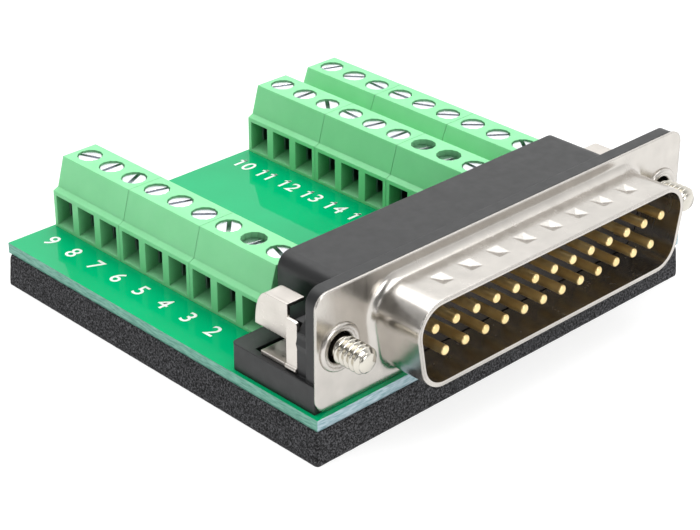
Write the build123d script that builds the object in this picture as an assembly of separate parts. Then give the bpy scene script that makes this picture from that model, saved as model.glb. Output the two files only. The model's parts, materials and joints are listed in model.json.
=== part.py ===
from build123d import *
from math import radians, tan
import os

os.makedirs("parts", exist_ok=True)

# Terminal block adapter for a 25-way D connector. Millimetres, +Z up.
# The origin is the middle of the foam pad's underside. X runs along the connector,
# and the connector looks along -Y. The wires of the left and middle rows enter along +X,
# and those of the right row along -X.

# Board and pad
board_width = 53.8
board_thick = 1.2
pad_thick = 3.45
hole_clearance = 0.1

# Connector shell, a standard 25-way plug
mouth_width = 38.96
mouth_height = 8.36
mouth_corner = 2.6
side_slope = 10.0
shell_wall = 0.45
shell_reach = 6.1
root_radius = 0.9
flange_ear = 3.0
flange_height = 12.55
flange_corner = 1.6
flange_sheet = 0.5
flange_setback = 0.6
flange_lift = 0.02
fixing_spacing = 47.04

# Pressed dimples along the top of the shell
dimple_count = 8
dimple_pitch = 3.85
dimple_length = 1.65
dimple_width = 1.9
dimple_depth = 0.45
dimple_setback = 3.2

# What repeats is made with few flat sides
contact_sides = 6
screw_head_sides = 8
well_sides = 12
screw_shank_sides = 6
board_hole_sides = 4
shank_hole_sides = 6
hidden_round_sides = 12

# Contacts
contact_pitch = 2.77
contact_row_spacing = 2.84
upper_count = 13
contact_radius = 0.51
contact_reach = 5.65
contact_tip = 0.35
contact_nose = 0.25
contact_fit = 0.03
tail_side = 0.6
lower_tail_y = 5.2
upper_tail_y = 8.04

# Insulator and black housing, distances back from the shell's flange face
insulator_front = -1.0
insulator_fit = 0.05
insulator_step = 0.9
plate_rear = 1.7
plate_inset = 0.35
body_bracket_gap = 0.85
body_rear = 11.9
body_roof_gap = 0.935
body_wall = 1.2
body_edge_radius = 1.5
end_block_inset = 0.62
end_block_rear = 3.15
end_block_height = 7.45
inner_block_inset = 2.17
inner_block_rear = 5.05
arm_inset = 0.07
arm_height = 2.95
arm_wall = 0.8
arm_corner = 0.6
arm_pocket_length = 4.2
arm_pocket_width = 4.6

# Eyelets and jackscrews
eyelet_rim_radius = 2.5
eyelet_rim_thick = 0.35
eyelet_barrel_radius = 2.05
eyelet_bore_radius = 1.65
eyelet_fit = 0.05
screw_radius = 1.42
screw_reach = 3.9
screw_shank_radius = 1.2
screw_thread_gap = 0.1
screw_tip_chamfer = 0.3
collar_radius = 1.9
collar_thick = 0.9
collar_play = 0.05
collar_boss_wall = 0.6

# Brackets
bracket_inset = 2.25
bracket_plate_width = 3.0
bracket_plate_thick = 1.25
bracket_plate_top = 7.05
bracket_leg_top = 1.2
bracket_leg_width = 1.3
bracket_play = 0.05
tab_width = 2.2
tab_bottom = 4.8
tab_top = 8.4
tab_length = 4.45
tab_round = 2.3
foot_length = 3.3
foot_thick = 0.3

# Terminal rows: their wire faces, their margin at the rear edge and their gap to the black body
left_row_face = -20.8
middle_row_face = 7.3
right_row_face = 22.85
blocks_facing = (1, 1, -1)
row_end_margin = 0.28
row_gap = 1.48
pitch = 3.81
ways = 3
blocks_per_row = 3
block_gap = 0.05

# Terminal housing profile, depth from the wire face and height above the board
block_depth = 7.2
block_height = 7.9
ledge_height = 4.3
ledge_depth = 0.67
ledge_rise = 0.3
top_front = 1.6
top_rear = 6.0
rear_knee = 4.9

# Wire entry and clamp cavity
entry_width = 2.8
entry_floor = 0.35
entry_top = 3.85
throat_width = 1.9
throat_floor = 1.25
throat_depth = 2.0
cavity_depth = 4.4
cavity_width = 2.7
cavity_floor = 0.85
cavity_top = 5.0
well_radius = 1.35
well_floor = 5.25
shank_play = 0.1

# Clamp frames
frame_play = 0.05
frame_wall = 0.25
frame_head = 0.9
frame_tail = 0.9
frame_tail_play = 0.05

# Terminal screws, M2
terminal_screw_radius = 1.0
thread_play = 0.05
head_radius = 1.25
head_height = 1.0
head_recess = 0.45
shank_length = 2.7
slot_width = 0.45
slot_depth = 0.45
sunk_by = 0.5
sunk_screws = (2, 16, 17)

# Cuts run past what they cut, into a space that they meet, or just over a seam
cut_over = 1.0
cut_join = 0.5
seam = 0.01

# The slot of each screw stands at its own angle, in degrees from the row's direction
slot_angles = {
    1: 20, 2: 35, 3: 60, 4: 5, 5: -15, 6: -40, 7: -60, 8: 40, 9: 75,
    10: -80, 11: -50, 12: 0, 13: 30, 14: -65, 15: -45, 16: 80, 17: 65, 18: 25,
    19: 50, 20: -70, 21: -85, 22: 12, 23: 10, 24: 35, 25: 20, 26: 8, 27: -55,
}

# Worked out from the sizes above
board_top = pad_thick + board_thick
row_faces = (left_row_face, middle_row_face, right_row_face)
per_row = blocks_per_row * ways
terminal_count = len(row_faces) * per_row
board_depth = flange_setback + body_rear + row_gap + per_row * pitch + row_end_margin
flange_face = -board_depth / 2 + flange_setback
axis_height = board_top + flange_height / 2 + flange_lift
fixing_x = fixing_spacing / 2
flange_width = fixing_spacing + 2 * flange_ear
end_block_half_width = flange_width / 2 - end_block_inset
inner_block_half_width = flange_width / 2 - inner_block_inset
arm_half_width = flange_width / 2 - arm_inset
bracket_outer = arm_half_width - bracket_inset
body_half_width = bracket_outer - bracket_plate_width - body_bracket_gap
contact_top = axis_height + contact_row_spacing / 2 + tail_side / 2
body_height = contact_top + body_roof_gap + body_wall - board_top
row_rear = board_depth / 2 - row_end_margin
block_length = ways * pitch
screw_depth = (top_front + top_rear) / 2
half_diagonal = 2 ** 0.5 / 2
tail_hole_radius = frame_tail * half_diagonal + hole_clearance
contact_hole_radius = tail_side * half_diagonal + hole_clearance
eyelet_rim_chamfer = eyelet_rim_thick / 2
slot_cut_length = 3 * head_radius
tail_rows = {"upper": flange_face + upper_tail_y, "lower": flange_face + lower_tail_y}


def box_between(x, y, z):
    """A box from three pairs of limits."""
    low = Vector(min(x), min(y), min(z))
    high = Vector(max(x), max(y), max(z))
    centre = (low + high) * 0.5
    size = high - low
    return Pos(centre) * Box(size.X, size.Y, size.Z)


def rod(x, z, radius, y_from, y_to):
    """A round bar along Y."""
    length = y_to - y_from
    return Pos(x, y_from, z) * Rot(-90, 0, 0) * Cylinder(
        radius, length, align=(Align.CENTER, Align.CENTER, Align.MIN)
    )


def upright(x, y, radius, z_from, z_to, sides):
    """A bar along Z with flat sides, its corners on the radius."""
    return Pos(x, y, z_from) * extrude(RegularPolygon(radius, sides), z_to - z_from)


def upright_hole(x, y, radius, z_from, z_to, sides):
    """A hole along Z with flat sides, its sides on the radius."""
    section = RegularPolygon(radius, sides, major_radius=False)
    return Pos(x, y, z_from) * extrude(section, z_to - z_from)


def across(x, z, y):
    """A plane that faces the connector's front."""
    return Plane(origin=(x, y, z), x_dir=(1, 0, 0), z_dir=(0, -1, 0))


def hidden_rod(x, radius, y_from, y_to):
    """A bar along Y at a fixing, out of sight, its corners on the radius."""
    section = across(x, axis_height, y_to) * RegularPolygon(radius, hidden_round_sides)
    return extrude(section, y_to - y_from)


def hidden_hole(x, radius, y_from, y_to):
    """A hole along Y at a fixing, out of sight, its sides on the radius."""
    section = across(x, axis_height, y_to) * RegularPolygon(
        radius, hidden_round_sides, major_radius=False
    )
    return extrude(section, y_to - y_from)


def d_face(grow, rounded=True):
    """The D outline of the plug, wide side up, grown by a margin."""
    half_top = mouth_width / 2
    half_bottom = half_top - mouth_height * tan(radians(side_slope))
    half_height = mouth_height / 2
    outline = Polyline(
        (-half_top, half_height),
        (half_top, half_height),
        (half_bottom, -half_height),
        (-half_bottom, -half_height),
        close=True,
    )
    face = make_face(outline)
    if rounded:
        face = fillet(face.vertices(), mouth_corner)
    if grow:
        face = offset(face, grow, kind=Kind.ARC if rounded else Kind.INTERSECTION)
    return face


def d_prism(grow, y_from, y_to, rounded=True):
    """The D outline carried along Y between two distances."""
    plane = Plane(origin=(0, y_to, axis_height), x_dir=(1, 0, 0), z_dir=(0, -1, 0))
    return extrude(plane * d_face(grow, rounded), y_to - y_from)


def flange_plate(width, height, corner, y_from, y_to):
    """A rounded plate standing across the connector's axis."""
    plane = Plane(origin=(0, y_to, axis_height), x_dir=(1, 0, 0), z_dir=(0, -1, 0))
    return extrude(plane * RectangleRounded(width, height, corner), y_to - y_from)


def contact_places(row):
    """The X places of one row of contacts, and the row's height."""
    if row == "upper":
        count = upper_count
        height = axis_height + contact_row_spacing / 2
    else:
        count = upper_count - 1
        height = axis_height - contact_row_spacing / 2
    first = -(count - 1) * contact_pitch / 2
    return [first + i * contact_pitch for i in range(count)], height


def terminal_place(number):
    """The row face, the facing (1 along +X, -1 along -X) and the Y of one terminal."""
    row = (number - 1) // per_row
    step = (number - 1) % per_row
    if row == 1:
        from_rear = step
    else:
        from_rear = per_row - 1 - step
    return row_faces[row], blocks_facing[row], row_rear - (from_rear + 0.5) * pitch


def terminal_location(number):
    """The frame of one terminal: origin at the foot of its wire face, +X into the block."""
    face, facing, y = terminal_place(number)
    turn = 0 if facing > 0 else 180
    return Pos(face, y, board_top) * Rot(0, 0, turn)


def way_offsets():
    """The places of the ways along one block, from its middle."""
    return [(i - (ways - 1) / 2) * pitch for i in range(ways)]


def make_foam_pad():
    return box_between(
        (-board_width / 2, board_width / 2), (-board_depth / 2, board_depth / 2), (0, pad_thick)
    )


def board_hole(x, y, radius):
    return upright_hole(x, y, radius, 0, board_top + cut_over, board_hole_sides)


def make_circuit_board():
    board = box_between(
        (-board_width / 2, board_width / 2),
        (-board_depth / 2, board_depth / 2),
        (pad_thick, board_top),
    )
    holes = []
    for row in ("upper", "lower"):
        places, _ = contact_places(row)
        for x in places:
            holes.append(board_hole(x, tail_rows[row], contact_hole_radius))
    for number in range(1, terminal_count + 1):
        spot = terminal_location(number) * Pos(screw_depth, 0, 0)
        x, y = spot.position.X, spot.position.Y
        holes.append(board_hole(x, y, tail_hole_radius))
    for side in (-1, 1):
        inner = bracket_outer - bracket_leg_width
        holes.append(
            box_between(
                (side * (bracket_outer + hole_clearance), side * (inner - hole_clearance)),
                (bracket_front() - hole_clearance, bracket_rear() + hole_clearance),
                (0, board_top + cut_over),
            )
        )
    return board - holes


def bracket_front():
    return flange_face + inner_block_rear + bracket_play


def bracket_rear():
    return bracket_front() + bracket_plate_thick


def make_dsub_shell():
    rear = flange_face + flange_sheet
    flange = flange_plate(flange_width, flange_height, flange_corner, flange_face, rear)
    tube = d_prism(shell_wall, flange_face - shell_reach, rear)
    shell = flange + tube
    roots = [
        e
        for e in shell.edges().filter_by_position(
            Axis.Y, flange_face - seam, flange_face + seam
        )
        if abs(e.center().X) < fixing_x - eyelet_rim_radius
        and abs(e.center().Z - axis_height) < flange_height / 2 - shell_wall
    ]
    shell = fillet(roots, root_radius)
    shell = shell - d_prism(0, flange_face - shell_reach - cut_over, rear + cut_over)
    for side in (-1, 1):
        shell = shell - hidden_hole(
            side * fixing_x, eyelet_barrel_radius + eyelet_fit, flange_face - cut_over, rear + cut_over
        )
    for i in range(dimple_count):
        x = (i - (dimple_count - 1) / 2) * dimple_pitch
        shell = shell + dimple(x, 0)
        shell = shell - dimple(x, shell_wall)
    return shell


def dimple(x, lift):
    """A four-sided pressed point, its base on the tube's inner or outer top face."""
    z = axis_height + mouth_height / 2 + lift
    y = flange_face - dimple_setback
    facing_front = across(x, z, y + dimple_width) * triangle(dimple_length)
    facing_side = Plane(origin=(x - dimple_length, y, z), x_dir=(0, 1, 0), z_dir=(1, 0, 0)) * triangle(
        dimple_width
    )
    return extrude(facing_front, 2 * dimple_width) & extrude(facing_side, 2 * dimple_length)


def triangle(width):
    """A triangle that points down by the dimples' depth."""
    return make_face(Polyline((-width / 2, 0), (width / 2, 0), (0, -dimple_depth), close=True))


def make_contact_insulator():
    front = flange_face + insulator_front
    plate_front = flange_face + flange_sheet
    body = d_prism(-insulator_fit, front, plate_front)
    body = body + d_prism(-insulator_step, plate_front, flange_face + plate_rear, rounded=False)
    bores = []
    for row in ("upper", "lower"):
        places, height = contact_places(row)
        for x in places:
            section = across(x, height, flange_face + plate_rear) * RegularPolygon(
                contact_radius + contact_fit, contact_sides
            )
            bores.append(extrude(section, flange_face + plate_rear - front))
    return body - bores


def make_contacts(row):
    """Pins with a blunt nose that end in a square tail, bent down into the board."""
    places, height = contact_places(row)
    tip = flange_face - contact_reach
    round_end = flange_face + plate_rear
    tail_y = tail_rows[row]
    half = tail_side / 2
    pins = []
    for x in places:
        section = across(x, height, round_end) * RegularPolygon(contact_radius, contact_sides)
        pin = extrude(section, round_end - tip)
        pin = chamfer(pin.faces().sort_by(Axis.Y)[0].edges(), contact_tip, contact_nose)
        level = box_between((x - half, x + half), (round_end, tail_y + half), (height - half, height + half))
        tail = box_between((x - half, x + half), (tail_y - half, tail_y + half), (pad_thick, height + half))
        pins.append(pin + level + tail)
    return Compound(children=pins)


def make_dsub_housing():
    front = flange_face + flange_sheet
    floor = board_top
    plate = flange_plate(
        flange_width - 2 * plate_inset,
        flange_height,
        flange_corner,
        front,
        flange_face + plate_rear,
    )
    body = box_between(
        (-body_half_width, body_half_width),
        (front, flange_face + body_rear),
        (floor, floor + body_height),
    )
    long_edges = body.edges().filter_by(Axis.Y).group_by(Axis.Z)[-1]
    body = fillet(long_edges, body_edge_radius)
    housing = plate + body
    for side in (-1, 1):
        housing = housing + box_between(
            (side * body_half_width, side * end_block_half_width),
            (front, flange_face + end_block_rear),
            (floor, floor + end_block_height),
        )
        housing = housing + box_between(
            (side * body_half_width, side * inner_block_half_width),
            (front, flange_face + inner_block_rear),
            (floor, floor + end_block_height),
        )
        boss_radius = collar_radius + collar_play + collar_boss_wall
        housing = housing + hidden_rod(
            side * fixing_x, boss_radius, front, flange_face + end_block_rear
        )
        housing = housing + make_arm(side)
    housing = housing - box_between(
        (-body_half_width + body_wall, body_half_width - body_wall),
        (flange_face + plate_rear, flange_face + body_rear - body_wall),
        (floor - cut_over, floor + body_height - body_wall),
    )
    housing = housing - d_prism(
        insulator_fit - insulator_step, flange_face, flange_face + plate_rear, rounded=False
    )
    for side in (-1, 1):
        x = side * fixing_x
        housing = housing - hidden_hole(
            x, eyelet_barrel_radius + eyelet_fit, flange_face, flange_face + plate_rear
        )
        collar_end = flange_face + plate_rear + collar_thick + 2 * collar_play
        housing = housing - hidden_hole(
            x, collar_radius + collar_play, flange_face + plate_rear - seam, collar_end
        )
    return housing


def make_arm(side):
    """A low arm beside the body, open where the bracket's leg goes down."""
    inner = body_half_width
    rear = flange_face + body_rear
    arm = box_between(
        (side * inner, side * arm_half_width),
        (flange_face + flange_sheet, rear),
        (board_top, board_top + arm_height),
    )
    corner = arm.edges().filter_by(Axis.Z).sort_by(lambda e: -abs(e.center().X) - e.center().Y)[0]
    arm = fillet(corner, arm_corner)
    pocket_outer = arm_half_width - arm_wall
    pocket_front = flange_face + inner_block_rear
    return arm - box_between(
        (side * (pocket_outer - arm_pocket_width), side * pocket_outer),
        (pocket_front, pocket_front + arm_pocket_length),
        (board_top - cut_over, board_top + arm_height + cut_over),
    )


def make_eyelet(side):
    x = side * fixing_x
    rim = rod(x, axis_height, eyelet_rim_radius, flange_face - eyelet_rim_thick, flange_face)
    rim = chamfer(rim.edges().sort_by(Axis.Y)[0], eyelet_rim_chamfer)
    barrel = hidden_rod(x, eyelet_barrel_radius, flange_face, flange_face + plate_rear)
    bore = hidden_hole(
        x,
        eyelet_bore_radius,
        flange_face - eyelet_rim_thick - cut_over,
        flange_face + plate_rear + cut_over,
    )
    return rim + barrel - bore


def make_jackscrew(side):
    """A stud with a plain cylinder for its thread, a thinner shank and a collar in the housing."""
    x = side * fixing_x
    collar_front = flange_face + plate_rear + collar_play
    thread_end = flange_face - eyelet_rim_thick - screw_thread_gap
    stud = rod(x, axis_height, screw_radius, flange_face - screw_reach, thread_end)
    stud = chamfer(stud.edges().sort_by(Axis.Y)[0], screw_tip_chamfer)
    shank = hidden_rod(x, screw_shank_radius, thread_end, collar_front)
    collar = hidden_rod(x, collar_radius, collar_front, collar_front + collar_thick)
    return stud + shank + collar


def make_bracket(side):
    """A plate behind the end block, with a round-backed tab, a foot and a leg into the board."""
    front = bracket_front()
    rear = bracket_rear()
    outer = side * bracket_outer
    plate = box_between(
        (outer, outer - side * bracket_plate_width),
        (front, rear),
        (board_top + bracket_leg_top, board_top + bracket_plate_top),
    )
    leg = box_between(
        (outer, outer - side * bracket_leg_width),
        (front, rear),
        (pad_thick, board_top + bracket_leg_top),
    )
    tab = box_between(
        (outer, outer - side * tab_width),
        (rear, rear + tab_length),
        (board_top + tab_bottom, board_top + tab_top),
    )
    back_edge = tab.edges().filter_by(Axis.X).sort_by(lambda e: -e.center().Y - e.center().Z)[0]
    tab = fillet(back_edge, tab_round)
    foot_floor = board_top + arm_height
    foot = box_between(
        (outer, outer - side * tab_width),
        (rear, rear + foot_length),
        (foot_floor, foot_floor + foot_thick),
    )
    return plate + leg + tab + foot


def block_profile():
    """The side outline of a terminal housing, wire face at X = 0."""
    outline = Polyline(
        (0, 0),
        (0, ledge_height),
        (ledge_depth, ledge_height + ledge_rise),
        (top_front, block_height),
        (top_rear, block_height),
        (block_depth, rear_knee),
        (block_depth, 0),
        close=True,
    )
    return make_face(outline)


def entry_cut(offset_y):
    """One wire entry, a funnel that narrows to the throat and opens on the clamp's cavity."""
    from_above = Polyline(
        (0, offset_y - entry_width / 2),
        (throat_depth, offset_y - throat_width / 2),
        (throat_depth, offset_y + throat_width / 2),
        (0, offset_y + entry_width / 2),
        close=True,
    )
    from_side = Polyline(
        (0, entry_floor),
        (throat_depth, throat_floor),
        (throat_depth, entry_top),
        (0, entry_top),
        close=True,
    )
    side_plane = Plane(origin=(0, offset_y + entry_width, 0), x_dir=(1, 0, 0), z_dir=(0, -1, 0))
    funnel = extrude(make_face(from_above), entry_top) & extrude(
        side_plane * make_face(from_side), 2 * entry_width
    )
    cavity = box_between(
        (throat_depth, throat_depth + cavity_depth),
        (offset_y - cavity_width / 2, offset_y + cavity_width / 2),
        (cavity_floor, cavity_top),
    )
    return funnel + cavity


def make_terminal_block(first):
    """A three-way housing whose lowest terminal number is first."""
    half = block_length / 2 - block_gap / 2
    plane = Plane(origin=(0, half, 0), x_dir=(1, 0, 0), z_dir=(0, -1, 0))
    block = extrude(plane * block_profile(), 2 * half)
    tail_half = frame_tail / 2 + frame_tail_play
    for y in way_offsets():
        block = block - entry_cut(y)
        block = block - upright_hole(
            screw_depth, y, well_radius, well_floor, block_height + cut_over, well_sides
        )
        block = block - upright_hole(
            screw_depth,
            y,
            terminal_screw_radius + shank_play,
            cavity_top - cut_join,
            well_floor + cut_join,
            shank_hole_sides,
        )
        block = block - box_between(
            (screw_depth - tail_half, screw_depth + tail_half),
            (y - tail_half, y + tail_half),
            (-cut_over, cavity_floor + cut_join),
        )
    return terminal_location(first + (ways - 1) // 2) * block


def make_clamp_frames(first):
    """Three box clamps, each with a thick head for the screw and a solder tail."""
    place = terminal_location(first + (ways - 1) // 2)
    outer_width = cavity_width - 2 * frame_play
    front = throat_depth + frame_play
    rear = throat_depth + cavity_depth - frame_play
    floor = cavity_floor
    top = cavity_top - frame_play
    frames = []
    for y in way_offsets():
        frame = box_between((front, rear), (y - outer_width / 2, y + outer_width / 2), (floor, top))
        inner_half = outer_width / 2 - frame_wall
        frame = frame - box_between(
            (front - cut_over, rear - frame_wall),
            (y - inner_half, y + inner_half),
            (floor + frame_wall, top - frame_head),
        )
        frame = frame - upright_hole(
            screw_depth,
            y,
            terminal_screw_radius + thread_play,
            top - frame_head - cut_join,
            top + cut_over,
            shank_hole_sides,
        )
        half = frame_tail / 2
        tail = box_between(
            (screw_depth - half, screw_depth + half), (y - half, y + half), (-board_thick, floor)
        )
        frames.append(place * (frame + tail))
    return Compound(children=frames)


def make_terminal_screw(number):
    """A slotted cheese head screw, standing open in its well."""
    top = block_height - head_recess
    if number in sunk_screws:
        top = top - sunk_by
    neck = top - head_height
    head = upright(screw_depth, 0, head_radius, neck, top, screw_head_sides)
    shank = upright(
        screw_depth, 0, terminal_screw_radius, neck - shank_length, neck, screw_shank_sides
    )
    slot = Pos(screw_depth, 0, top) * Rot(0, 0, slot_angles[number]) * Box(
        slot_width, slot_cut_length, 2 * slot_depth
    )
    return terminal_location(number) * (head + shank - slot)


def build_all():
    """Every sub-part by its name."""
    parts = {
        "foam_pad": make_foam_pad(),
        "circuit_board": make_circuit_board(),
        "dsub_shell": make_dsub_shell(),
        "contact_insulator": make_contact_insulator(),
        "dsub_housing": make_dsub_housing(),
        "upper_contacts": make_contacts("upper"),
        "lower_contacts": make_contacts("lower"),
    }
    for side, name in ((-1, "left"), (1, "right")):
        parts[name + "_eyelet"] = make_eyelet(side)
        parts[name + "_jackscrew"] = make_jackscrew(side)
        parts[name + "_bracket"] = make_bracket(side)
    for first in range(1, terminal_count + 1, ways):
        span = f"{first:02d}_{first + ways - 1:02d}"
        parts["terminal_block_" + span] = make_terminal_block(first)
        parts["clamp_frames_" + span] = make_clamp_frames(first)
    for number in range(1, terminal_count + 1):
        parts[f"terminal_screw_{number:02d}"] = make_terminal_screw(number)
    return parts


for name, shape in build_all().items():
    export_step(shape, f"parts/{name}.step")
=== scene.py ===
import bpy
import bmesh
import json
import math
from mathutils import Euler, Matrix, Vector, noise


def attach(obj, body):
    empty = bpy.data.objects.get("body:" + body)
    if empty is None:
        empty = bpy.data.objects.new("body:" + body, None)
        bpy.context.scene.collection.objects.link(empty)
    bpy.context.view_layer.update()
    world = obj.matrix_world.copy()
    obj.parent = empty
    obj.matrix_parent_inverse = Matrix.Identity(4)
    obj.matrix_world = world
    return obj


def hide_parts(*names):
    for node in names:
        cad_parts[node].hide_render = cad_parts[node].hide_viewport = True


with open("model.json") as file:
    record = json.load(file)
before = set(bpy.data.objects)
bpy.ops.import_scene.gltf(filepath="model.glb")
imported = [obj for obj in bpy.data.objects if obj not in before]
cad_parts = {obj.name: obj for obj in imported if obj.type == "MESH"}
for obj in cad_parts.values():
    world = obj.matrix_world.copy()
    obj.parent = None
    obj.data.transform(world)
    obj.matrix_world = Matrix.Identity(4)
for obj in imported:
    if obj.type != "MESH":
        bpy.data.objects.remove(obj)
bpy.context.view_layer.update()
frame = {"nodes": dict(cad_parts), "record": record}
MM = 0.001

# Tolerances in metres, and how little a wall's normal may lean along Y
MERGE = 1e-7
ON_PLANE = 0.00002
AT_FRONT = 0.00001
WALL_LEAN = 0.5

# Board and pad in millimetres, as in the part
BOARD_WIDTH = 53.8
BOARD_DEPTH = 48.55
BOARD_THICK = 1.2
PAD_THICK = 3.45
BOARD_TOP = PAD_THICK + BOARD_THICK

# The pad's sides: how far two stand proud at the floor and two are inset, and their roughness
PAD_PROUD = 0.65
PAD_INSET = 0.35
PAD_TAPER = 0.55
PAD_CORNER = 0.35
PAD_CORNER_SLACK = 0.01
PAD_EDGE = 0.1
PAD_EDGE_POWER = 12
PAD_STEP = 0.3
PAD_ROWS = 16
CORNER_STEPS = 4
FOAM_ROUGH = 0.0225
FOAM_LUMPS = 2.2

# Connector
FLANGE_SETBACK = 0.6
FLANGE_FACE = FLANGE_SETBACK - BOARD_DEPTH / 2
FLANGE_HEIGHT = 12.55
FLANGE_CLEARANCE = 0.02
AXIS_HEIGHT = BOARD_TOP + FLANGE_HEIGHT / 2 + FLANGE_CLEARANCE
FIXING_SPACING = 47.04
FIXING_X = FIXING_SPACING / 2
PLATE_REAR = 1.7

# Jackscrews, with radii for the thread's crest and root. Gain and cut flatten the ridges.
THREAD_PITCH = 0.635
THREAD_CREST = 1.42
THREAD_ROOT = 1.02
RIDGE_GAIN = 1.35
RIDGE_CUT = 0.1
SCREW_REACH = 3.9
SHANK_RADIUS = 1.2
THREAD_END = 0.45
TIP_RADIUS = 0.86
TIP_SLOPE = 1.1
TIP_HOLLOW = 0.02
COLLAR_RADIUS = 1.9
COLLAR_FRONT = 1.75
COLLAR_THICK = 0.9
STUD_SIDES = 56
STEPS_PER_TURN = 10

# Eyelets, with their lip as (distance in from the rim, height over the flange)
# and their throat as (distance out from the bore, height over the flange)
EYELET_RIM = 2.5
EYELET_BORE = 1.55
EYELET_BARREL = 2.05
EYELET_LIP = (
    (0.02, 0.0), (0.0, 0.08), (0.08, 0.22), (0.24, 0.32),
    (0.36, 0.35), (0.46, 0.31), (0.54, 0.19), (0.6, 0.25),
)
EYELET_THROAT = ((0.16, 0.23), (0.04, 0.12), (0.0, -0.1))
EYELET_SIDES = 72

# Contacts
UPPER_COUNT = 13
LOWER_COUNT = 12
CONTACT_PITCH = 2.77
CONTACT_ROWS = 2.84
CONTACT_RADIUS = 0.51
CONTACT_REACH = 5.65
CONTACT_SIDES = 24
TIP_FLAT = 0.26
TIP_BULGE = 0.03
TIP_ROUND = 0.22
TIP_STEPS = 6
TAIL_SIDE = 0.6
UPPER_TAIL = 8.04
LOWER_TAIL = 5.2

# Shell
FLANGE_SHEET = 0.5
THIN_SHEET = 0.24
SHEET_GAP = 0.02
SHELL_WALL = 0.45
MOUTH_HEIGHT = 8.36
MOUTH_WIDTH = 38.96
LIP = 0.28
DIMPLE_DEPTH = 0.45
SOFT_DIMPLE = 0.2
DIMPLE_SPAN = 16.0

# Brackets, with distances back from the flange face and heights over the board
BRACKET_OUTER = 24.2
BRACKET_SHEET = 0.35
PLATE_FRONT = 5.1
PLATE_BACK = 6.35
PLATE_TOP = 7.05
PLATE_FOOT = 1.2
PLATE_WIDTH = 3.0
LEG_WIDTH = 1.3
TAB_WIDTH = 2.2
TAB_LENGTH = 4.55
TAB_BOTTOM = 4.6
TAB_TOP = 8.4
TAB_CURVE = (1.66, 3.6)
TAB_STEPS = 12
STRAP_OUTER = 25.9
STRAP_FRONT = 3.2
STRAP_REAR = 4.66
STRAP_TOP = 8.37
STRAP_TOE = 3.0
FOLD_FOOT = 5.2
FOLD_DROP = 0.1
FOOT_TOP = 3.4
FOOT_THICK = 0.4
FOOT_REAR = 8.2
TOE_RADIUS = 0.28
TOE_INSET = 0.05
TOE_SIDES = 16
# The strap's rounded corner as (distance behind its front, distance under its top)
STRAP_CORNER = ((0.0, 0.3), (0.1, 0.12), (0.3, 0.02))

# Terminal rows, from left to right
PER_ROW = 9
PITCH = 3.81
ROW_END_MARGIN = 0.28
ROW_REAR = BOARD_DEPTH / 2 - ROW_END_MARGIN
ROW_WORDS = ("left", "middle", "right")
WIRE_FACES = (-20.8, 7.3, 22.85)
FACING = (1, 1, -1)
COUNTED_FROM_REAR = (False, True, False)

# Clamp mouths seen in the wire entries, with depths from the wire face
CLAMP_FRONT = 1.3
CLAMP_REAR = 2.04
CLAMP_WIDTH = 1.88
CLAMP_FLOOR = 1.28
CLAMP_TOP = 3.83
CLAMP_SHEET = 0.2

# Terminal screws, with each slot's turn in degrees as the photograph shows it
SCREW_DEPTH = 3.8
SCREW_TOP = 7.8
SUNK_BY = 0.5
SUNK_SCREWS = (2, 16, 17)
HEAD_RADIUS = 1.3
HEAD_HEIGHT = 1.35
HEAD_EDGE = 0.1
HEAD_EDGE_ROUND = 0.03
TERMINAL_SHANK = 1.0
SHANK_LENGTH = 2.7
SHANK_CHAMFER = 0.15
HEAD_SIDES = 64
SLOT_WIDTH = 0.46
SLOT_DEPTH = 0.6
SLOT_OVER = 0.7
SLOT_ANGLES = {
    1: -18, 2: 80, 3: -44, 4: 47, 5: 70, 6: 74, 7: -64, 8: 90, 9: 22,
    10: 66, 11: 90, 12: -39, 13: -4, 14: 76, 15: 88, 16: 76, 17: 84, 18: -4,
    19: -37, 20: 53, 21: 46, 22: 40, 23: 26, 24: 2, 25: -4, 26: 40, 27: 70,
}

# Printed numbers, how far each row's stand from its wire face and along from their screws
NUMBER_OUT = (2.5, 3.05, 2.1)
NUMBER_SHIFT = 0.7
HIDDEN_NUMBER = 1
HIDDEN_SHIFT = 1.5
NUMBER_SIZE = 2.75
DIGIT_SPACING = 1.05
INK_THICK = 0.01
INK_SPREAD = 0.02
INK_LIFT = 0.012
FLAG_REACH = 0.34
FLAG_TIP_TOP = 0.34
FLAG_TIP_FOOT = 0.578
FLAG_ROOT_FOOT = 0.306

# Angles in degrees over which an edge looks crisp
TURNED_CRISP = 50
SCREW_CRISP = 40
SHEET_CRISP = 30

# Camera fitted to the photograph, its place in millimetres from the flange face and the
# board's top, its angles in degrees
SENSOR_WIDTH = 36.0
FOCAL_PIXELS = 1936.42
PICTURE_PIXELS = 700
CAMERA_PLACE = (-128.7654, -109.7351, 97.0942)
CAMERA_TILT = 61.5759
CAMERA_ROLL = -0.217
CAMERA_TURN = -44.0317

# Studio in metres
CAMERA_NEAR = 0.01
CAMERA_FAR = 10.0
FLOOR_HALF = 1.5
FLOOR_GLOW = 0.72
CARD_SIDE = (0.85, 0.5, 0.15)
CARD_FADE = (-0.4, 0.6)
ROOM_LEVEL = 0.2
CARD_LEVEL = 1.25
LAMP_TARGET = (0, 0, 0.005)

# Materials, with lengths in metres and the span where soft noise mostly lies
WHITE = (1.0, 1.0, 1.0, 1.0)
NOISE_LOW = 0.3
NOISE_HIGH = 0.7
SHADING_SAMPLES = 6
PORE_SCALE = 4600
METAL_WEAR = 0.12
WAVE_HEIGHT = 0.0002
FINE_HEIGHT = 0.00002
# Reach and span of the painted shade in the hollows of the green plastic
HOLLOW_REACH = 0.0035
HOLLOW_SPAN = (0.35, 0.95)
SCATTER_REACH = 0.001
SCATTER_COLOR = (0.4, 1.0, 0.5)


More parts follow.
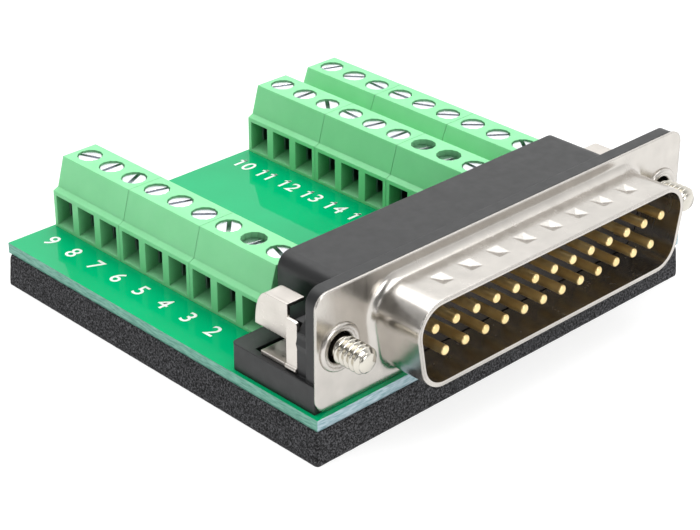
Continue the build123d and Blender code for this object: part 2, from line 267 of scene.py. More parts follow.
# Shader helpers
def srgb(r, g, b):
    """A colour given in 0 to 255 steps, as linear values by the standard curve."""
    def one(v):
        v = v / 255
        return v / 12.92 if v <= 0.04045 else ((v + 0.055) / 1.055) ** 2.4
    return (one(r), one(g), one(b), 1.0)


def darker(color, share):
    """A colour with a share of its light taken away."""
    return tuple(c * (1 - share) for c in color[:3]) + (1.0,)


class Shader:
    """A small wrapper round one node material."""

    def __init__(self, name):
        self.mat = bpy.data.materials.new(name)
        self.mat.use_nodes = True
        self.tree = self.mat.node_tree
        self.bsdf = self.tree.nodes["Principled BSDF"]
        self.coords = self.node("ShaderNodeTexCoord")

    def node(self, kind, **props):
        """A new node with its properties set."""
        n = self.tree.nodes.new(kind)
        for key, value in props.items():
            setattr(n, key, value)
        return n

    def link(self, a, b):
        """Joins an output to an input."""
        self.tree.links.new(a, b)

    def feed(self, source, key):
        """Joins an output to one of the surface's inputs."""
        self.link(source, self.bsdf.inputs[key])

    def set(self, **values):
        """Sets the surface's inputs, with an underscore for each space in a name."""
        for key, value in values.items():
            self.bsdf.inputs[key.replace("_", " ")].default_value = value

    def noise(self, scale, detail=2.0, roughness=0.5, stretch=(1, 1, 1)):
        """Soft noise in the piece's own space."""
        mapping = self.node("ShaderNodeMapping")
        mapping.inputs["Scale"].default_value = stretch
        self.link(self.coords.outputs["Object"], mapping.inputs["Vector"])
        n = self.node("ShaderNodeTexNoise")
        n.inputs["Scale"].default_value = scale
        n.inputs["Detail"].default_value = detail
        n.inputs["Roughness"].default_value = roughness
        self.link(mapping.outputs["Vector"], n.inputs["Vector"])
        return n.outputs["Fac"]

    def ramp(self, source, low_color, high_color, low=NOISE_LOW, high=NOISE_HIGH):
        """A blend of two colours while a value goes from low to high."""
        n = self.node("ShaderNodeValToRGB")
        n.color_ramp.elements[0].position = low
        n.color_ramp.elements[1].position = high
        n.color_ramp.elements[0].color = low_color
        n.color_ramp.elements[1].color = high_color
        self.link(source, n.inputs["Fac"])
        return n.outputs["Color"]

    def span(self, source, low, high, start=0.0, end=1.0):
        """A value that goes from start to end while another goes from low to high."""
        n = self.node("ShaderNodeMapRange")
        n.inputs["From Min"].default_value = low
        n.inputs["From Max"].default_value = high
        n.inputs["To Min"].default_value = start
        n.inputs["To Max"].default_value = end
        self.link(source, n.inputs["Value"])
        return n.outputs["Result"]

    def spread(self, source, start, end):
        """A value that goes from start to end over the span of soft noise."""
        return self.span(source, NOISE_LOW, NOISE_HIGH, start, end)

    def mix(self, factor, first, second):
        """The first colour where the factor is 0 and the second where it is 1."""
        n = self.node("ShaderNodeMix", data_type="RGBA")
        self.link(factor, n.inputs[0])
        for socket, value in ((n.inputs[6], first), (n.inputs[7], second)):
            if isinstance(value, tuple):
                socket.default_value = value
            else:
                self.link(value, socket)
        return n.outputs[2]

    def bump(self, height, strength, distance, normal=None):
        """Small relief in the shading, on top of a given normal."""
        n = self.node("ShaderNodeBump")
        n.inputs["Strength"].default_value = strength
        n.inputs["Distance"].default_value = distance
        self.link(height, n.inputs["Height"])
        if normal:
            self.link(normal, n.inputs["Normal"])
        self.feed(n.outputs["Normal"], "Normal")
        return n.outputs["Normal"]

    def edge(self, radius):
        """Softens sharp edges in the shading."""
        n = self.node("ShaderNodeBevel")
        n.samples = SHADING_SAMPLES
        n.inputs["Radius"].default_value = radius
        return n.outputs["Normal"]


# Materials
def make_foam():
    """Black foam with open cells, whose pores are painted darker as shade."""
    s = Shader("foam_open_cell")
    cells = s.node("ShaderNodeTexVoronoi")
    cells.inputs["Scale"].default_value = PORE_SCALE
    s.link(s.coords.outputs["Object"], cells.inputs["Vector"])
    grain = s.noise(scale=4800, detail=3.0, roughness=0.7)
    fine = s.ramp(grain, srgb(18, 18, 19), srgb(98, 98, 101), low=0.42, high=0.66)
    # Painted shade: the middles of the cells are darkened like the shade inside open pores
    pore_shade = s.span(cells.outputs["Distance"], 0.05, 0.55)
    s.feed(s.mix(pore_shade, srgb(20, 20, 21), fine), "Base Color")
    s.set(Roughness=0.85, Specular_IOR_Level=0.2)
    s.bump(grain, strength=0.55, distance=0.00012)
    return s.mat


def make_board():
    """Green lacquer on top and bare laminate on the cut edges, with painted light making the front
    edges paler.
    """
    s = Shader("board_lacquer")
    normal = s.node("ShaderNodeNewGeometry")
    axes = s.node("ShaderNodeSeparateXYZ")
    s.link(normal.outputs["Normal"], axes.inputs["Vector"])
    upward = s.span(axes.outputs["Z"], 0.4, 0.6)
    cloud = s.noise(scale=90, detail=3.0)
    lacquer = s.ramp(cloud, srgb(0, 166, 106), srgb(0, 176, 114))
    layers = s.noise(scale=900, stretch=(1, 1, 6))
    teal = s.ramp(layers, srgb(84, 146, 128), srgb(126, 186, 166))
    # Painted light: the front-facing cut edges take this paler laminate colour, as if lit from the
    # front
    pale = s.ramp(layers, srgb(124, 158, 166), srgb(184, 204, 212))
    front_light_mask = s.span(axes.outputs["Y"], -0.6, -0.4, start=1.0, end=0.0)
    laminate = s.mix(front_light_mask, teal, pale)
    s.feed(s.mix(upward, laminate, lacquer), "Base Color")
    s.set(Roughness=0.5, Specular_IOR_Level=0.0)
    s.set(Coat_Weight=0.7, Coat_Roughness=0.04, Coat_IOR=1.45)
    s.bump(s.noise(scale=260), strength=0.03, distance=0.0001)
    return s.mat


def make_metal(name, color, rough, grain_scale, edge, stretch=(1, 1, 1), wave=0.0):
    """Plated metal between two roughnesses. A wave bends its reflections like drawn sheet."""
    s = Shader(name)
    wear = s.noise(scale=420, detail=3.0)
    s.feed(s.ramp(wear, darker(color, METAL_WEAR), color), "Base Color")
    grain = s.noise(scale=grain_scale, detail=3.0, roughness=0.6, stretch=stretch)
    s.feed(s.spread(grain, *rough), "Roughness")
    s.set(Metallic=1.0)
    surface = s.bump(grain, strength=0.08, distance=0.00003, normal=s.edge(edge))
    if wave:
        s.bump(s.noise(scale=170), strength=wave, distance=WAVE_HEIGHT, normal=surface)
    return s.mat


def make_plastic(name, color, light, rough, edge, grain=0.12, scatter=0.0, gloss=0.5, painted_shade=0.0):
    """Moulded plastic between two tones. Painted shade darkens its base colour in its hollows."""
    s = Shader(name)
    surface = s.ramp(s.noise(scale=300, detail=3.0), color, light)
    if painted_shade:
        # Painted shade: the base colour is darkened where ambient occlusion finds hollows, such as
        # wire entries and screw wells
        hollow = s.node("ShaderNodeAmbientOcclusion", samples=SHADING_SAMPLES, only_local=True)
        hollow.inputs["Distance"].default_value = HOLLOW_REACH
        openness = s.span(hollow.outputs["AO"], *HOLLOW_SPAN)
        surface = s.mix(openness, darker(color, painted_shade), surface)
    s.feed(surface, "Base Color")
    s.feed(s.spread(s.noise(scale=900), rough - 0.05, rough + 0.05), "Roughness")
    s.set(Specular_IOR_Level=gloss)
    if scatter:
        s.set(Subsurface_Weight=scatter, Subsurface_Scale=SCATTER_REACH)
        s.set(Subsurface_Radius=SCATTER_COLOR)
    s.bump(s.noise(scale=5200), strength=grain, distance=FINE_HEIGHT, normal=s.edge(edge))
    return s.mat


def make_gold():
    """Thin gold plate."""
    s = Shader("contact_gold")
    tone = s.noise(scale=700)
    s.feed(s.ramp(tone, (0.86, 0.65, 0.31, 1), (0.95, 0.77, 0.42, 1)), "Base Color")
    s.feed(s.spread(tone, 0.34, 0.44), "Roughness")
    s.set(Metallic=1.0)
    s.bump(s.noise(scale=1500), strength=0.04, distance=FINE_HEIGHT, normal=s.edge(0.00008))
    return s.mat


def make_ink():
    """White print."""
    s = Shader("number_ink")
    tone = s.noise(scale=2500, detail=3.0)
    s.feed(s.ramp(tone, srgb(228, 236, 228), srgb(250, 252, 250)), "Base Color")
    s.set(Roughness=0.5)
    s.bump(tone, strength=0.1, distance=FINE_HEIGHT)
    return s.mat


def make_floor():
    """Studio paper with a glow of its own, which keeps it white around the object."""
    s = Shader("studio_floor")
    tone = s.noise(scale=3)
    pale = s.ramp(tone, (0.39, 0.39, 0.39, 1), (0.41, 0.41, 0.41, 1), low=0.2, high=0.8)
    s.feed(pale, "Base Color")
    s.set(Roughness=0.9, Specular_IOR_Level=0.1, Emission_Strength=FLOOR_GLOW, Emission_Color=WHITE)
    return s.mat


materials = {
    "foam": make_foam(),
    "board": make_board(),
    "nickel": make_metal(
        "shell_nickel", (0.62, 0.59, 0.55, 1), rough=(0.18, 0.28),
        grain_scale=900, edge=0.0003, stretch=(1, 1, 0.06), wave=0.14,
    ),
    "bracket_metal": make_metal(
        "bracket_nickel", (0.68, 0.64, 0.59, 1), rough=(0.26, 0.36),
        grain_scale=800, edge=0.00012, stretch=(1, 1, 4),
    ),
    "screw_metal": make_metal(
        "screw_zinc", (0.84, 0.86, 0.90, 1), rough=(0.2, 0.28), grain_scale=700, edge=0.00008,
    ),
    "stud_metal": make_metal(
        "stud_nickel", (0.66, 0.63, 0.56, 1), rough=(0.12, 0.2), grain_scale=1500, edge=0.00005,
    ),
    "clamp_metal": make_metal(
        "clamp_tin", (0.26, 0.25, 0.27, 1), rough=(0.35, 0.45), grain_scale=1200, edge=0.00006,
    ),
    "gold": make_gold(),
    "black_plastic": make_plastic(
        "housing_black", srgb(22, 23, 24), srgb(28, 29, 30), rough=0.43, edge=0.00018, gloss=0.45,
    ),
    "dark_plastic": make_plastic(
        "insert_dark", srgb(27, 24, 26), srgb(35, 31, 33), rough=0.4, edge=0.00008,
    ),
    # The terminal plastic has painted shade in its hollows
    "green_plastic": make_plastic(
        "terminal_green", srgb(127, 213, 150), srgb(133, 218, 156), rough=0.5,
        edge=0.00014, grain=0.1, scatter=0.12, painted_shade=0.55,
    ),
    "ink": make_ink(),
    "floor": make_floor(),
}


def dress(obj, material):
    """Gives an object one material."""
    obj.data.materials.clear()
    obj.data.materials.append(material)


slot_of = {p["node"]: p["material_slot"] for p in frame["record"]["subparts"]}
for node_name, node in frame["nodes"].items():
    dress(node, materials[slot_of[node_name]])


# Building helpers
def add_object(name, data):
    """A new object in the scene."""
    obj = bpy.data.objects.new(name, data)
    bpy.context.scene.collection.objects.link(obj)
    return obj


def add_piece(name, mesh, slot, body="adapter", replaced=None, look=None):
    """A visible piece that rides a body and stands for a node where one is named."""
    piece = add_object(name, mesh)
    dress(piece, materials[look or slot])
    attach(piece, body)
    if replaced:
        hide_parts(replaced)
    return piece


def mesh_from(name, bm):
    """The mesh of a finished bmesh, which is freed."""
    mesh = bpy.data.meshes.new(name)
    bm.to_mesh(mesh)
    bm.free()
    return mesh


def solid_from(name, bm):
    """The mesh of finished closed shapes, with every face turned outward."""
    bmesh.ops.recalc_face_normals(bm, faces=bm.faces)
    return mesh_from(name, bm)


def shade_smooth(mesh, crisp=None):
    """Smooth shading, where edges over the crisp angle in degrees still look sharp."""
    for face in mesh.polygons:
        face.use_smooth = True
    if crisp:
        mesh.set_sharp_from_angle(angle=math.radians(crisp))


def bridge(bm, rings):
    """Side faces between rings of points that follow one another."""
    for lower, upper in zip(rings, rings[1:]):
        for k in range(len(lower)):
            m = (k + 1) % len(lower)
            bm.faces.new((lower[k], lower[m], upper[m], upper[k]))


def add_prism(bm, first, second):
    """A solid between two outlines in millimetres with as many points each."""
    rings = []
    for outline in (first, second):
        rings.append([bm.verts.new((x * MM, y * MM, z * MM)) for x, y, z in outline])
    bridge(bm, rings)
    bm.faces.new(list(reversed(rings[0])))
    bm.faces.new(rings[1])


def add_box(bm, low, high):
    """A box between two corners in millimetres."""
    sides = []
    for x in (low[0], high[0]):
        sides.append([
            (x, low[1], low[2]), (x, low[1], high[2]), (x, high[1], high[2]), (x, high[1], low[2]),
        ])
    add_prism(bm, *sides)


def circle(radius, sides):
    """Points round a circle as pairs."""
    angles = [2 * math.pi * k / sides for k in range(sides)]
    return [(radius * math.cos(a), radius * math.sin(a)) for a in angles]


def add_turned(bm, profile, sides, place):
    """A turned solid from (radius, distance) pairs, closed where the radius is 0."""
    rings = []
    for radius, distance in profile:
        points = circle(radius, sides if radius else 1)
        rings.append([bm.verts.new(place @ Vector((x, y, distance))) for x, y in points])
    for first, second in zip(rings, rings[1:]):
        for k in range(sides):
            m = (k + 1) % sides
            if len(first) == 1:
                bm.faces.new((first[0], second[k], second[m]))
            elif len(second) == 1:
                bm.faces.new((first[k], second[0], first[m]))
            else:
                bm.faces.new((first[k], second[k], second[m], first[m]))


def along_y(x, z, y):
    """Millimetres to metres, with the turned axis laid along +Y from a point."""
    turn = Matrix.Rotation(-math.pi / 2, 4, "X")
    return Matrix.Scale(MM, 4) @ Matrix.Translation((x, y, z)) @ turn


def back(distance):
    """The Y of a distance back from the flange face."""
    return FLANGE_FACE + distance


# Pad
def pad_outline():
    """Points round the pad with small round corners, about a step apart."""
    half_x = BOARD_WIDTH / 2 - PAD_CORNER
    half_y = BOARD_DEPTH / 2 - PAD_CORNER
    turns = []
    for side_x, side_y, start in ((1, 1, 0), (-1, 1, 90), (-1, -1, 180), (1, -1, 270)):
        for k in range(CORNER_STEPS + 1):
            a = math.radians(start + 90 * k / CORNER_STEPS)
            turns.append((
                side_x * half_x + PAD_CORNER * math.cos(a),
                side_y * half_y + PAD_CORNER * math.sin(a),
            ))
    outline = []
    for (x, y), (next_x, next_y) in zip(turns, turns[1:] + turns[:1]):
        count = max(1, round(math.hypot(next_x - x, next_y - y) / PAD_STEP))
        for k in range(count):
            t = k / count
            outline.append((x + (next_x - x) * t, y + (next_y - y) * t))
    return outline


def pad_shift(value, half, inward, proud):
    """How far a point of the outline moves along one axis, which is nothing between the sides."""
    if abs(value) < half - PAD_CORNER - PAD_CORNER_SLACK:
        return 0
    return inward - proud if value < 0 else -inward - PAD_INSET


def make_foam_slab():
    """The pad with rough cut sides. Its left and front sides stand a little proud of the board."""
    bm = bmesh.new()
    outline = pad_outline()
    rings = []
    for r in range(PAD_ROWS + 1):
        t = r / PAD_ROWS
        z = PAD_THICK * t
        edge = PAD_EDGE * (2 * abs(t - 0.5)) ** PAD_EDGE_POWER
        proud = PAD_PROUD * (1 - PAD_TAPER * t)
        ring = []
        for x, y in outline:
            spot = Vector((x * FOAM_LUMPS, y * FOAM_LUMPS, z * FOAM_LUMPS))
            inward = edge + FOAM_ROUGH * (noise.noise(spot) + 1)
            px = x + pad_shift(x, BOARD_WIDTH / 2, inward, proud)
            py = y + pad_shift(y, BOARD_DEPTH / 2, inward, proud)
            ring.append(bm.verts.new((px * MM, py * MM, z * MM)))
        rings.append(ring)
    bridge(bm, rings)
    bm.faces.new(rings[-1])
    bm.faces.new(list(reversed(rings[0])))
    mesh = mesh_from("foam_slab", bm)
    shade_smooth(mesh)
    piece = add_piece("foam_slab", mesh, "foam", replaced="foam_pad")


# Jackscrews and eyelets
def thread_radius(depth, turn):
    """The radius at a distance from the tip, for a part of a turn from 0 to 1."""
    if depth > SCREW_REACH - THREAD_END:
        return SHANK_RADIUS
    phase = (depth / THREAD_PITCH - turn) % 1.0
    ridge = 1 - abs(phase - 0.5) * 2
    ridge = min(1.0, max(0.0, ridge * RIDGE_GAIN - RIDGE_CUT))
    radius = THREAD_ROOT + (THREAD_CREST - THREAD_ROOT) * ridge
    return min(radius, TIP_RADIUS + depth * TIP_SLOPE)


def stud_ring(bm, side, depth, radii):
    """A ring of points round a jackscrew's axis, at a distance from its tip."""
    ring = []
    for k, radius in enumerate(radii):
        a = 2 * math.pi * k / len(radii)
        ring.append(bm.verts.new((
            (side * FIXING_X + radius * math.cos(a)) * MM,
            back(depth - SCREW_REACH) * MM,
            (AXIS_HEIGHT + radius * math.sin(a)) * MM,
        )))
    return ring


def make_threaded_stud(side, word):
    """A jackscrew with its real thread, in the plain one's place."""
    bm = bmesh.new()
    length = SCREW_REACH + COLLAR_FRONT
    steps = round(length / (THREAD_PITCH / STEPS_PER_TURN))
    rings = []
    for i in range(steps + 1):
        depth = length * i / steps
        radii = [thread_radius(depth, k / STUD_SIDES) for k in range(STUD_SIDES)]
        rings.append(stud_ring(bm, side, depth, radii))
    for depth in (length, length + COLLAR_THICK):
        rings.append(stud_ring(bm, side, depth, [COLLAR_RADIUS] * STUD_SIDES))
    bridge(bm, rings)
    tip = stud_ring(bm, side, TIP_HOLLOW, [0])[0]
    for k in range(STUD_SIDES):
        bm.faces.new((rings[0][(k + 1) % STUD_SIDES], rings[0][k], tip))
    bm.faces.new(rings[-1])
    name = f"threaded_stud_{word}"
    node = f"{word}_jackscrew"
    mesh = solid_from(name, bm)
    shade_smooth(mesh)
    add_piece(name, mesh, "screw_metal", f"{node}_body", node, look="stud_metal")


def make_eyelet(side, word):
    """A rolled ring that runs into its bore like a trumpet."""
    bm = bmesh.new()
    profile = [(EYELET_BARREL, PLATE_REAR), (EYELET_BARREL, 0.0)]
    profile += [(EYELET_RIM - inset, -rise) for inset, rise in EYELET_LIP]
    profile += [(EYELET_BORE + out, -rise) for out, rise in EYELET_THROAT]
    profile += [(EYELET_BORE, PLATE_REAR), (EYELET_BARREL, PLATE_REAR)]
    place = along_y(side * FIXING_X, AXIS_HEIGHT, FLANGE_FACE)
    add_turned(bm, profile, EYELET_SIDES, place)
    bmesh.ops.remove_doubles(bm, verts=bm.verts, dist=MERGE)
    name = f"rolled_eyelet_{word}"
    mesh = solid_from(name, bm)
    shade_smooth(mesh, TURNED_CRISP)
    add_piece(name, mesh, "nickel", replaced=f"{word}_eyelet")


# Contacts
def make_contacts(name, node, count, row_side, tail):
    """Round pins with blunt domed tips, each with its square tail down to the board."""
    bm = bmesh.new()
    height = AXIS_HEIGHT + row_side * CONTACT_ROWS / 2
    length = CONTACT_REACH + PLATE_REAR
    half = TAIL_SIDE / 2
    rear = back(PLATE_REAR)
    foot = back(tail)
    profile = [(0, 0)]
    for k in range(TIP_STEPS + 1):
        a = math.pi / 2 * k / TIP_STEPS
        profile.append((
            TIP_FLAT + (CONTACT_RADIUS - TIP_FLAT) * math.sin(a),
            TIP_BULGE + TIP_ROUND * (1 - math.cos(a)),
        ))
    profile += [(CONTACT_RADIUS, length), (0, length)]
    for i in range(count):
        x = (i - (count - 1) / 2) * CONTACT_PITCH
        add_turned(bm, profile, CONTACT_SIDES, along_y(x, height, back(-CONTACT_REACH)))
        add_box(bm, (x - half, rear, height - half), (x + half, foot + half, height + half))
        add_box(bm, (x - half, foot - half, PAD_THICK), (x + half, foot + half, height - half))
    mesh = solid_from(name, bm)
    shade_smooth(mesh, TURNED_CRISP)
    add_piece(name, mesh, "gold", replaced=node)


# Shell and housing
def copied_node(name, node, slot):
    """A piece that starts from a node's own mesh and stands for it."""
    mesh = frame["nodes"][node].data.copy()
    mesh.name = name
    return add_piece(name, mesh, slot, replaced=node)


def move_plane(mesh, old, new):
    """Takes the points on one plane across Y to another."""
    for vertex in mesh.vertices:
        if abs(vertex.co.y - old * MM) < ON_PLANE:
            vertex.co.y = new * MM


def make_housing():
    """The black housing, its plate brought up to the thin flange."""
    piece = copied_node("moulded_housing", "dsub_housing", "black_plastic")
    move_plane(piece.data, back(FLANGE_SHEET), back(THIN_SHEET + SHEET_GAP))


def soften_dimples(mesh):
    """Lifts the floors of the upper dimples, inside and out."""
    for wall in (0, SHELL_WALL):
        floor = (AXIS_HEIGHT + MOUTH_HEIGHT / 2 + wall - DIMPLE_DEPTH) * MM
        for vertex in mesh.vertices:
            if abs(vertex.co.z - floor) < ON_PLANE and abs(vertex.co.x) < DIMPLE_SPAN * MM:
                vertex.co.z += (DIMPLE_DEPTH - SOFT_DIMPLE) * MM


def thin_lip(mesh):
    """Widens the inside of the mouth at its very front."""
    axis = AXIS_HEIGHT * MM
    front = min(vertex.co.y for vertex in mesh.vertices)
    inner = set()
    for face in mesh.polygons:
        outward = face.center.x * face.normal.x + (face.center.z - axis) * face.normal.z
        if abs(face.normal.y) < WALL_LEAN and outward < 0:
            inner.update(i for i in face.vertices if mesh.vertices[i].co.y < front + AT_FRONT)
    for i in inner:
        point = mesh.vertices[i].co
        point.x *= 1 + LIP / (MOUTH_WIDTH / 2)
        point.z = axis + (point.z - axis) * (1 + LIP / (MOUTH_HEIGHT / 2))


def make_shell():
    """The drawn shell: a flange of thin sheet, soft dimples and a mouth that thins to its lip."""
    piece = copied_node("drawn_shell", "dsub_shell", "nickel")
    move_plane(piece.data, back(FLANGE_SHEET), back(THIN_SHEET))
    soften_dimples(piece.data)
    thin_lip(piece.data)


# Brackets
def add_strip(bm, line, x_from, x_to):
    """A closed outline of (distance back, height over the board) points, carried along X."""
    outlines = [[(x, back(d), BOARD_TOP + h) for d, h in line] for x in (x_from, x_to)]
    add_prism(bm, *outlines)


def tab_curve(inset):
    """The round back of the tab from its top to its foot, drawn in by a sheet's thickness."""
    far = PLATE_BACK + TAB_LENGTH
    reach, fall = TAB_CURVE
    points = []
    for k in range(TAB_STEPS + 1):
        a = math.pi / 2 * k / TAB_STEPS
        points.append((
            far - reach + (reach - inset) * math.sin(a),
            TAB_TOP - fall + (fall - inset) * math.cos(a),
        ))
    points.append((far - inset, TAB_BOTTOM))
    return points


def box_line(front, rear, low, high):
    """The outline of a plain box for a strip."""
    return [(front, low), (front, high), (rear, high), (rear, low)]


def add_fold(bm, side):
    """The slanted web that joins the outer strap to the tab behind it."""
    sheet = side * BRACKET_SHEET
    outlines = []
    for out, distance, low, high in (
        (STRAP_OUTER, STRAP_REAR, FOLD_FOOT, STRAP_TOP - FOLD_DROP),
        (BRACKET_OUTER, PLATE_BACK, TAB_BOTTOM, PLATE_TOP),
    ):
        x = side * out
        corners = ((x, low), (x, high), (x - sheet, high), (x - sheet, low))
        outlines.append([(px, back(distance), BOARD_TOP + h) for px, h in corners])
    add_prism(bm, *outlines)


def add_toe(bm, side):
    """The rolled lower end of the outer strap."""
    middle = side * (STRAP_OUTER - TOE_INSET)
    height = BOARD_TOP + STRAP_TOE + TOE_RADIUS
    round_points = circle(TOE_RADIUS, TOE_SIDES)
    outlines = [
        [(middle + x, back(distance), height + z) for x, z in round_points]
        for distance in (STRAP_FRONT, STRAP_REAR)
    ]
    add_prism(bm, *outlines)


def make_bracket(side, word):
    """A stamped bracket: a folded tab with a round back, an outer strap with a rolled toe, a foot."""
    bm = bmesh.new()
    outer = side * BRACKET_OUTER
    inner = side * (BRACKET_OUTER - TAB_WIDTH)
    sheet = side * (BRACKET_OUTER - BRACKET_SHEET)
    tab = [(PLATE_BACK, TAB_TOP)] + tab_curve(0)
    inside = list(reversed(tab_curve(BRACKET_SHEET))) + [(PLATE_BACK, TAB_TOP - BRACKET_SHEET)]
    add_strip(bm, tab + [(PLATE_BACK, TAB_BOTTOM)], outer, sheet)
    add_strip(bm, tab + inside, sheet, inner)
    plate = box_line(PLATE_FRONT, PLATE_BACK, PLATE_FOOT, TAB_BOTTOM)
    add_strip(bm, plate, outer, side * (BRACKET_OUTER - PLATE_WIDTH))
    leg = box_line(PLATE_FRONT, PLATE_BACK, PAD_THICK - BOARD_TOP, PLATE_FOOT)
    add_strip(bm, leg, outer, side * (BRACKET_OUTER - LEG_WIDTH))
    strap = [(STRAP_FRONT + d, STRAP_TOP - h) for d, h in STRAP_CORNER]
    strap += [(STRAP_REAR, STRAP_TOP), (STRAP_REAR, STRAP_TOE), (STRAP_FRONT, STRAP_TOE)]
    add_strip(bm, strap, side * STRAP_OUTER, side * (STRAP_OUTER - BRACKET_SHEET))
    add_fold(bm, side)
    foot = box_line(STRAP_REAR, FOOT_REAR, FOOT_TOP - FOOT_THICK, FOOT_TOP)
    add_strip(bm, foot, side * STRAP_OUTER, inner)
    add_toe(bm, side)
    name = f"formed_bracket_{word}"
    mesh = solid_from(name, bm)
    shade_smooth(mesh, SHEET_CRISP)
    add_piece(name, mesh, "bracket_metal", replaced=f"{word}_bracket")


# Terminal rows
def row_of(number):
    """The row of a terminal, from 0 at the left."""
    return (number - 1) // PER_ROW


def way_y(number):
    """The middle of a terminal's way, front to back."""
    step = (number - 1) % PER_ROW
    from_rear = step if COUNTED_FROM_REAR[row_of(number)] else PER_ROW - 1 - step
    return ROW_REAR - (from_rear + 0.5) * PITCH


def inside_face(row, depth):
    """The X of a depth in from a row's wire face."""
    return WIRE_FACES[row] + FACING[row] * depth


def make_clamp_mouths(row):
    """The open front ends of a row's clamps, just inside their wire entries."""
    bm = bmesh.new()
    half = CLAMP_WIDTH / 2
    low_x, high_x = sorted((inside_face(row, CLAMP_FRONT), inside_face(row, CLAMP_REAR)))
    low_z = BOARD_TOP + CLAMP_FLOOR
    high_z = BOARD_TOP + CLAMP_TOP
    for step in range(PER_ROW):
        y = way_y(row * PER_ROW + step + 1)
        add_box(bm, (low_x, y - half, low_z), (high_x, y - half + CLAMP_SHEET, high_z))
        add_box(bm, (low_x, y + half - CLAMP_SHEET, low_z), (high_x, y + half, high_z))
        add_box(bm, (low_x, y - half, high_z - CLAMP_SHEET), (high_x, y + half, high_z))
    name = f"clamp_mouths_{ROW_WORDS[row]}"
    add_piece(name, solid_from(name, bm), "clamp_metal")


def screw_template():
    """The mesh of a slotted cheese head screw with its top at the origin."""
    neck = -HEAD_HEIGHT
    end = neck - SHANK_LENGTH
    profile = [
        (0, 0),
        (HEAD_RADIUS - HEAD_EDGE, 0),
        (HEAD_RADIUS - HEAD_EDGE_ROUND, -HEAD_EDGE_ROUND),
        (HEAD_RADIUS, -HEAD_EDGE),
        (HEAD_RADIUS, neck),
        (TERMINAL_SHANK, neck),
        (TERMINAL_SHANK, end + SHANK_CHAMFER),
        (TERMINAL_SHANK - SHANK_CHAMFER, end),
        (0, end),
    ]
    bm = bmesh.new()
    add_turned(bm, profile, HEAD_SIDES, Matrix.Scale(MM, 4))
    body = add_object("screw_body", solid_from("screw_body", bm))
    half = SLOT_WIDTH / 2
    reach = HEAD_RADIUS + SLOT_OVER
    bm = bmesh.new()
    add_box(bm, (-half, -reach, -SLOT_DEPTH), (half, reach, SLOT_OVER))
    slot = add_object("screw_slot", solid_from("screw_slot", bm))
    cut = body.modifiers.new("slot", "BOOLEAN")
    cut.object = slot
    cut.operation = "DIFFERENCE"
    cut.solver = "EXACT"
    bpy.context.view_layer.update()
    shaped = body.evaluated_get(bpy.context.evaluated_depsgraph_get())
    mesh = bpy.data.meshes.new_from_object(shaped)
    shade_smooth(mesh, SCREW_CRISP)
    for obj in (body, slot):
        bpy.data.objects.remove(obj)
    return mesh


def make_terminal_screw(template, number):
    """A slotted screw in its well, its slot turned as in the photograph."""
    x = inside_face(row_of(number), SCREW_DEPTH)
    top = BOARD_TOP + SCREW_TOP - (SUNK_BY if number in SUNK_SCREWS else 0)
    place = Matrix.Translation((x * MM, way_y(number) * MM, top * MM))
    mesh = template.copy()
    mesh.transform(place @ Matrix.Rotation(math.radians(SLOT_ANGLES[number]), 4, "Z"))
    node = f"terminal_screw_{number:02d}"
    add_piece(f"slotted_screw_{number:02d}", mesh, "screw_metal", f"{node}_body", node)


# Printed numbers
def figure_corners(bm):
    """The low and high corners of each separate figure, in reading order."""
    left = set(bm.verts)
    corners = []
    while left:
        found = [left.pop()]
        for vertex in found:
            for edge in vertex.link_edges:
                other = edge.other_vert(vertex)
                if other in left:
                    left.remove(other)
                    found.append(other)
        spans = list(zip(*(v.co for v in found)))
        corners.append(([min(span) for span in spans], [max(span) for span in spans]))
    return sorted(corners)


def add_flags(mesh, digits):
    """Gives each figure 1 the short flag at its top."""
    bm = bmesh.new()
    bm.from_mesh(mesh)
    bmesh.ops.remove_doubles(bm, verts=bm.verts, dist=MERGE)
    for digit, (low, high) in zip(digits, figure_corners(bm)):
        if digit == "1":
            x, y, z = high
            tip = low[0] - FLAG_REACH * MM
            flag = (
                (x, y),
                (tip, y - FLAG_TIP_TOP * MM),
                (tip, y - FLAG_TIP_FOOT * MM),
                (x, y - FLAG_ROOT_FOOT * MM),
            )
            bm.faces.new([bm.verts.new((px, py, z)) for px, py in flag])
    bm.to_mesh(mesh)
    bm.free()


def make_number(number):
    """A printed position number beside its terminal, read from the left side of the board."""
    curve = bpy.data.curves.new(f"number_{number:02d}", "FONT")
    curve.body = str(number)
    curve.size = NUMBER_SIZE * MM
    curve.align_x = "CENTER"
    curve.align_y = "CENTER"
    curve.extrude = INK_THICK * MM
    curve.offset = INK_SPREAD * MM
    curve.space_character = DIGIT_SPACING
    text = add_object(f"number_text_{number:02d}", curve)
    bpy.context.view_layer.update()
    mesh = bpy.data.meshes.new_from_object(text)
    bpy.data.objects.remove(text)
    add_flags(mesh, str(number))
    row = row_of(number)
    x = inside_face(row, -NUMBER_OUT[row])
    y = way_y(number) - (HIDDEN_SHIFT if number == HIDDEN_NUMBER else NUMBER_SHIFT)
    place = Matrix.Translation((x * MM, y * MM, (BOARD_TOP + INK_LIFT) * MM))
    mesh.transform(place @ Matrix.Rotation(-math.pi / 2, 4, "Z"))
    add_piece(f"number_{number:02d}", mesh, "board", look="ink")


# Studio
def make_floor_plane():
    """The white floor, which is no part of the object."""
    bm = bmesh.new()
    bmesh.ops.create_grid(bm, x_segments=8, y_segments=8, size=FLOOR_HALF)
    floor = add_object("studio_floor", mesh_from("studio_floor", bm))
    dress(floor, materials["floor"])


def make_area(name, place, target, size, power):
    """A soft lamp that looks at a target."""
    light = bpy.data.lights.new(name, "AREA")
    light.shape = "RECTANGLE"
    light.size, light.size_y = size
    light.energy = power
    lamp = add_object(name, light)
    lamp.location = place
    aim = Vector(target) - Vector(place)
    lamp.rotation_euler = aim.to_track_quat("-Z", "Y").to_euler()


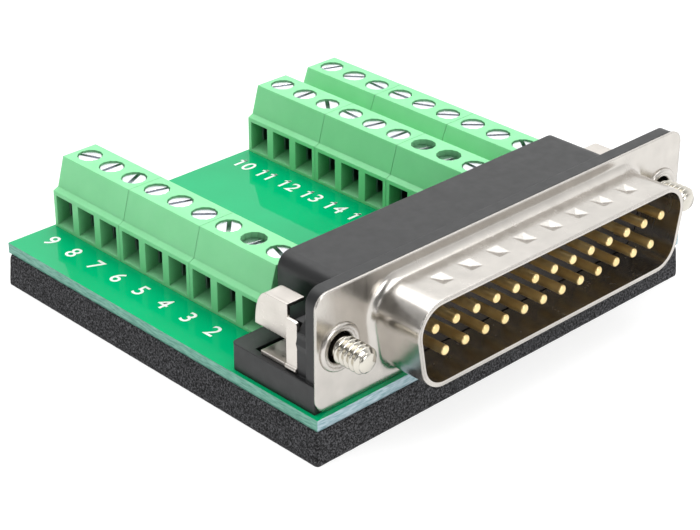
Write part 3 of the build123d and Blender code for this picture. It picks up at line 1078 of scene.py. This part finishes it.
def make_world():
    """A plain white room that is brighter on the side of the back card."""
    world = bpy.data.worlds.new("studio")
    world.use_nodes = True
    tree = world.node_tree
    backdrop = tree.nodes["Background"]
    coords = tree.nodes.new("ShaderNodeTexCoord")
    toward = tree.nodes.new("ShaderNodeVectorMath")
    toward.operation = "DOT_PRODUCT"
    toward.inputs[1].default_value = CARD_SIDE
    level = tree.nodes.new("ShaderNodeMapRange")
    level.inputs["From Min"].default_value = CARD_FADE[0]
    level.inputs["From Max"].default_value = CARD_FADE[1]
    level.inputs["To Min"].default_value = ROOM_LEVEL
    level.inputs["To Max"].default_value = CARD_LEVEL
    tree.links.new(coords.outputs["Generated"], toward.inputs[0])
    tree.links.new(toward.outputs["Value"], level.inputs["Value"])
    tree.links.new(level.outputs["Result"], backdrop.inputs["Strength"])
    backdrop.inputs["Color"].default_value = WHITE
    bpy.context.scene.world = world


def make_camera():
    """The photograph's camera, placed from the flange face and the board's top."""
    camera = bpy.data.cameras.new("camera")
    camera.sensor_width = SENSOR_WIDTH
    camera.lens = FOCAL_PIXELS * SENSOR_WIDTH / PICTURE_PIXELS
    camera.clip_start = CAMERA_NEAR
    camera.clip_end = CAMERA_FAR
    obj = add_object("camera", camera)
    x, y, z = CAMERA_PLACE
    place = Matrix.Translation((x * MM, back(y) * MM, (BOARD_TOP + z) * MM))
    angles = Euler([math.radians(angle) for angle in (CAMERA_TILT, CAMERA_ROLL, CAMERA_TURN)])
    obj.matrix_world = place @ angles.to_matrix().to_4x4()
    bpy.context.scene.camera = obj


SIDES = ((-1, "left"), (1, "right"))
make_foam_slab()
make_housing()
make_shell()
for side, word in SIDES:
    make_bracket(side, word)
for row in range(len(ROW_WORDS)):
    make_clamp_mouths(row)
for side, word in SIDES:
    make_threaded_stud(side, word)
for side, word in SIDES:
    make_eyelet(side, word)
make_contacts("pins_upper", "upper_contacts", UPPER_COUNT, 1, UPPER_TAIL)
make_contacts("pins_lower", "lower_contacts", LOWER_COUNT, -1, LOWER_TAIL)
screw_mesh = screw_template()
for number in sorted(SLOT_ANGLES):
    make_number(number)
    make_terminal_screw(screw_mesh, number)

make_floor_plane()
make_world()
make_camera()
make_area("top_soft", place=(0.05, 0.1, 0.6), target=(0, 0, 0), size=(0.7, 0.7), power=3.4)
make_area("front_soft", place=(-0.05, -0.6, 0.25), target=LAMP_TARGET, size=(0.3, 0.3), power=1.4)
make_area("left_soft", place=(-0.6, 0.1, 0.25), target=LAMP_TARGET, size=(0.4, 0.3), power=0.5)
scene = bpy.context.scene
scene.view_settings.view_transform = "Standard"
scene.view_settings.look = "None"
